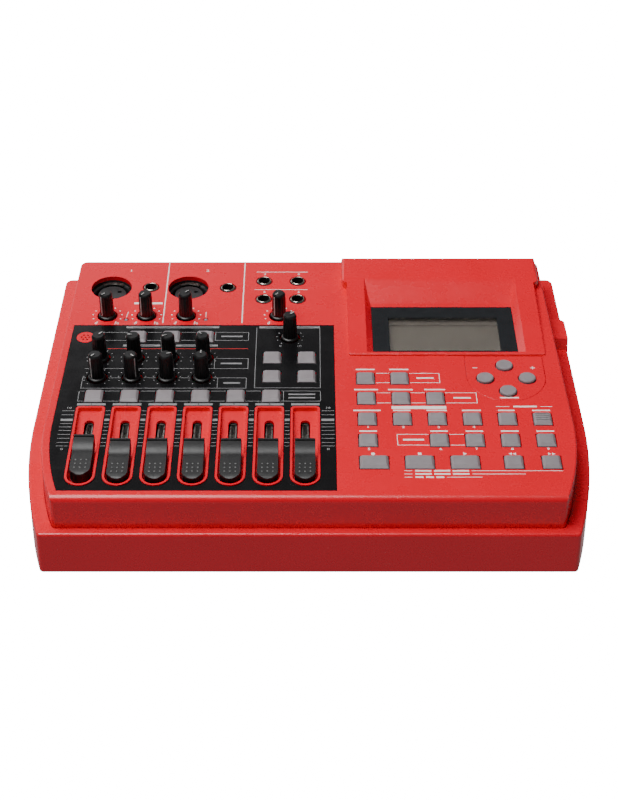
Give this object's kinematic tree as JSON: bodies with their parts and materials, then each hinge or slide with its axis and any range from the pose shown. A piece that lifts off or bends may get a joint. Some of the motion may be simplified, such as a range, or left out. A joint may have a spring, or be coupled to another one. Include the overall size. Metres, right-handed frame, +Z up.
{
  "type": "digital multitrack recorder",
  "caption": "Desktop multitrack recorder: wedge-shaped case with a sloping deck, faders, rotary knobs, push keys, a hooded display and sockets for microphones and jack plugs.",
  "frame": {"origin": "bottom centre of the bounding box, on the table under the feet", "axes": "+X to the right as the user sees it, +Y from the front edge to the rear, +Z up; the deck slopes up to the rear by 7 degrees about X"},
  "size_m": [0.2878, 0.219, 0.077],
  "materials": {
    "case_red": "satin moulded plastic, red through and through",
    "panel_black": "satin black panel",
    "control_black": "satin black plastic",
    "key_grey": "translucent grey rubber",
    "window": "clear acrylic with a black border",
    "lcd": "unlit grey-green display",
    "steel": "bright steel",
    "chrome": "chromed",
    "board": "green circuit board",
    "dark_plastic": "dark moulded plastic",
    "pot": "plated steel can",
    "rubber": "black rubber",
    "lamp": "red lamp lens"
  },
  "bodies": {
    "case": {"lower_case": "case_red", "upper_case": "case_red", "bottom_cover": "case_red", "mixer_panel": "panel_black", "display_hood": "case_red", "display_window": "window", "lcd_module": "lcd", "cursor_bezel": "case_red", "rubber_feet": "rubber", "screws": "steel", "main_board": "board", "panel_boards": "board", "tact_switches": "dark_plastic", "microphone_sockets": "dark_plastic", "jack_sockets": "chrome", "slide_pots": "pot", "rotary_pots": "pot", "built_in_microphone": "steel", "peak_lamps": "lamp", "card_socket": "dark_plastic", "rear_sockets": "dark_plastic"},
    "fader_1": {"fader_1": "control_black"},
    "fader_2": {"fader_2": "control_black"},
    "fader_3": {"fader_3": "control_black"},
    "fader_4": {"fader_4": "control_black"},
    "fader_5": {"fader_5": "control_black"},
    "fader_6": {"fader_6": "control_black"},
    "fader_7": {"fader_7": "control_black"},
    "trim_a_knob": {"trim_a_knob": "control_black"},
    "gain_knob": {"gain_knob": "control_black"},
    "trim_b_knob": {"trim_b_knob": "control_black"},
    "phones_knob": {"phones_knob": "control_black"},
    "effect_time_knob": {"effect_time_knob": "control_black"},
    "send_1_knob": {"send_1_knob": "control_black"},
    "send_2_knob": {"send_2_knob": "control_black"},
    "send_3_knob": {"send_3_knob": "control_black"},
    "send_4_knob": {"send_4_knob": "control_black"},
    "pan_1_knob": {"pan_1_knob": "control_black"},
    "pan_2_knob": {"pan_2_knob": "control_black"},
    "pan_3_knob": {"pan_3_knob": "control_black"},
    "pan_4_knob": {"pan_4_knob": "control_black"},
    "record_key": {"record_key": "key_grey"},
    "stop_key": {"stop_key": "key_grey"},
    "play_key": {"play_key": "key_grey"},
    "rewind_key": {"rewind_key": "key_grey"},
    "forward_key": {"forward_key": "key_grey"},
    "cursor_up_key": {"cursor_up_key": "key_grey"},
    "cursor_left_key": {"cursor_left_key": "key_grey"},
    "cursor_right_key": {"cursor_right_key": "key_grey"},
    "cursor_down_key": {"cursor_down_key": "key_grey"},
    "input_a_keys": {"input_a_keys": "key_grey"},
    "record_select_keys": {"record_select_keys": "key_grey"},
    "effect_keys": {"effect_keys": "key_grey"},
    "bounce_keys": {"bounce_keys": "key_grey"},
    "mastering_keys": {"mastering_keys": "key_grey"},
    "menu_keys": {"menu_keys": "key_grey"},
    "number_keys": {"number_keys": "key_grey"},
    "power_switch": {"power_switch": "control_black"},
    "input_select_switch": {"input_select_switch": "control_black"},
    "battery_door": {"battery_door": "case_red"}
  },
  "joints": [
    {"name": "fader_1_slide", "type": "slide", "parent": "case", "child": "fader_1", "axis": [0, 0.9925, 0.1219], "range_m": [-0.003, 0.027]},
    {"name": "fader_2_slide", "type": "slide", "parent": "case", "child": "fader_2", "axis": [0, 0.9925, 0.1219], "range_m": [0, 0.03]},
    {"name": "fader_3_slide", "type": "slide", "parent": "case", "child": "fader_3", "axis": [0, 0.9925, 0.1219], "range_m": [0, 0.03]},
    {"name": "fader_4_slide", "type": "slide", "parent": "case", "child": "fader_4", "axis": [0, 0.9925, 0.1219], "range_m": [0, 0.03]},
    {"name": "fader_5_slide", "type": "slide", "parent": "case", "child": "fader_5", "axis": [0, 0.9925, 0.1219], "range_m": [0, 0.03]},
    {"name": "fader_6_slide", "type": "slide", "parent": "case", "child": "fader_6", "axis": [0, 0.9925, 0.1219], "range_m": [0, 0.03]},
    {"name": "fader_7_slide", "type": "slide", "parent": "case", "child": "fader_7", "axis": [0, 0.9925, 0.1219], "range_m": [0, 0.03]},
    {"name": "trim_a_turn", "type": "hinge", "parent": "case", "child": "trim_a_knob", "pos_m": [-0.111, 0.04611, 0.06123], "axis": [0, -0.1219, 0.9925], "range_deg": [-280, 0]},
    {"name": "gain_turn", "type": "hinge", "parent": "case", "child": "gain_knob", "pos_m": [-0.0895, 0.04611, 0.06123], "axis": [0, -0.1219, 0.9925], "range_deg": [-280, 0]},
    {"name": "trim_b_turn", "type": "hinge", "parent": "case", "child": "trim_b_knob", "pos_m": [-0.0677, 0.04611, 0.06123], "axis": [0, -0.1219, 0.9925], "range_deg": [-95, 185]},
    {"name": "phones_turn", "type": "hinge", "parent": "case", "child": "phones_knob", "pos_m": [-0.0165, 0.04611, 0.06123], "axis": [0, -0.1219, 0.9925], "range_deg": [-280, 0]},
    {"name": "effect_time_turn", "type": "hinge", "parent": "case", "child": "effect_time_knob", "pos_m": [-0.0103, 0.02587, 0.05875], "axis": [0, -0.1219, 0.9925], "range_deg": [-90, 190]},
    {"name": "send_1_turn", "type": "hinge", "parent": "case", "child": "send_1_knob", "pos_m": [-0.1111, 0.00731, 0.05647], "axis": [0, -0.1219, 0.9925], "range_deg": [-100, 180]},
    {"name": "send_2_turn", "type": "hinge", "parent": "case", "child": "send_2_knob", "pos_m": [-0.0928, 0.00731, 0.05647], "axis": [0, -0.1219, 0.9925], "range_deg": [-225, 55]},
    {"name": "send_3_turn", "type": "hinge", "parent": "case", "child": "send_3_knob", "pos_m": [-0.0745, 0.00731, 0.05647], "axis": [0, -0.1219, 0.9925], "range_deg": [-250, 30]},
    {"name": "send_4_turn", "type": "hinge", "parent": "case", "child": "send_4_knob", "pos_m": [-0.0562, 0.00731, 0.05647], "axis": [0, -0.1219, 0.9925], "range_deg": [-180, 100]},
    {"name": "pan_1_turn", "type": "hinge", "parent": "case", "child": "pan_1_knob", "pos_m": [-0.1111, -0.00957, 0.0544], "axis": [0, -0.1219, 0.9925], "range_deg": [-280, 0]},
    {"name": "pan_2_turn", "type": "hinge", "parent": "case", "child": "pan_2_knob", "pos_m": [-0.0928, -0.00957, 0.0544], "axis": [0, -0.1219, 0.9925], "range_deg": [0, 280]},
    {"name": "pan_3_turn", "type": "hinge", "parent": "case", "child": "pan_3_knob", "pos_m": [-0.0745, -0.00957, 0.0544], "axis": [0, -0.1219, 0.9925], "range_deg": [-65, 215]},
    {"name": "pan_4_turn", "type": "hinge", "parent": "case", "child": "pan_4_knob", "pos_m": [-0.0562, -0.00957, 0.0544], "axis": [0, -0.1219, 0.9925], "range_deg": [-140, 140]},
    {"name": "record_press", "type": "slide", "parent": "case", "child": "record_key", "axis": [0, 0.1219, -0.9925], "range_m": [0, 0.0008], "stiffness_N_per_m": 1500},
    {"name": "stop_press", "type": "slide", "parent": "case", "child": "stop_key", "axis": [0, 0.1219, -0.9925], "range_m": [0, 0.0008], "stiffness_N_per_m": 1500},
    {"name": "play_press", "type": "slide", "parent": "case", "child": "play_key", "axis": [0, 0.1219, -0.9925], "range_m": [0, 0.0008], "stiffness_N_per_m": 1500},
    {"name": "rewind_press", "type": "slide", "parent": "case", "child": "rewind_key", "axis": [0, 0.1219, -0.9925], "range_m": [0, 0.0008], "stiffness_N_per_m": 1500},
    {"name": "forward_press", "type": "slide", "parent": "case", "child": "forward_key", "axis": [0, 0.1219, -0.9925], "range_m": [0, 0.0008], "stiffness_N_per_m": 1500},
    {"name": "cursor_up_press", "type": "slide", "parent": "case", "child": "cursor_up_key", "axis": [0, 0.1219, -0.9925], "range_m": [0, 0.0008], "stiffness_N_per_m": 1500},
    {"name": "cursor_left_press", "type": "slide", "parent": "case", "child": "cursor_left_key", "axis": [0, 0.1219, -0.9925], "range_m": [0, 0.0008], "stiffness_N_per_m": 1500},
    {"name": "cursor_right_press", "type": "slide", "parent": "case", "child": "cursor_right_key", "axis": [0, 0.1219, -0.9925], "range_m": [0, 0.0008], "stiffness_N_per_m": 1500},
    {"name": "cursor_down_press", "type": "slide", "parent": "case", "child": "cursor_down_key", "axis": [0, 0.1219, -0.9925], "range_m": [0, 0.0008], "stiffness_N_per_m": 1500},
    {"name": "input_a_press", "type": "slide", "parent": "case", "child": "input_a_keys", "axis": [0, 0.1219, -0.9925], "range_m": [0, 0.0008], "stiffness_N_per_m": 1500},
    {"name": "record_select_press", "type": "slide", "parent": "case", "child": "record_select_keys", "axis": [0, 0.1219, -0.9925], "range_m": [0, 0.0008], "stiffness_N_per_m": 1500},
    {"name": "effect_press", "type": "slide", "parent": "case", "child": "effect_keys", "axis": [0, 0.1219, -0.9925], "range_m": [0, 0.0008], "stiffness_N_per_m": 1500},
    {"name": "bounce_press", "type": "slide", "parent": "case", "child": "bounce_keys", "axis": [0, 0.1219, -0.9925], "range_m": [0, 0.0008], "stiffness_N_per_m": 1500},
    {"name": "mastering_press", "type": "slide", "parent": "case", "child": "mastering_keys", "axis": [0, 0.1219, -0.9925], "range_m": [0, 0.0008], "stiffness_N_per_m": 1500},
    {"name": "menu_press", "type": "slide", "parent": "case", "child": "menu_keys", "axis": [0, 0.1219, -0.9925], "range_m": [0, 0.0008], "stiffness_N_per_m": 1500},
    {"name": "number_press", "type": "slide", "parent": "case", "child": "number_keys", "axis": [0, 0.1219, -0.9925], "range_m": [0, 0.0008], "stiffness_N_per_m": 1500},
    {"name": "power_switch_slide", "type": "slide", "parent": "case", "child": "power_switch", "axis": [1, 0, 0], "range_m": [0, 0.004]},
    {"name": "input_select_switch_slide", "type": "slide", "parent": "case", "child": "input_select_switch", "axis": [1, 0, 0], "range_m": [0, 0.003]},
    {"name": "battery_door_slide", "type": "slide", "parent": "case", "child": "battery_door", "axis": [0, -1, 0], "range_m": [0, 0.0035]}
  ]
}
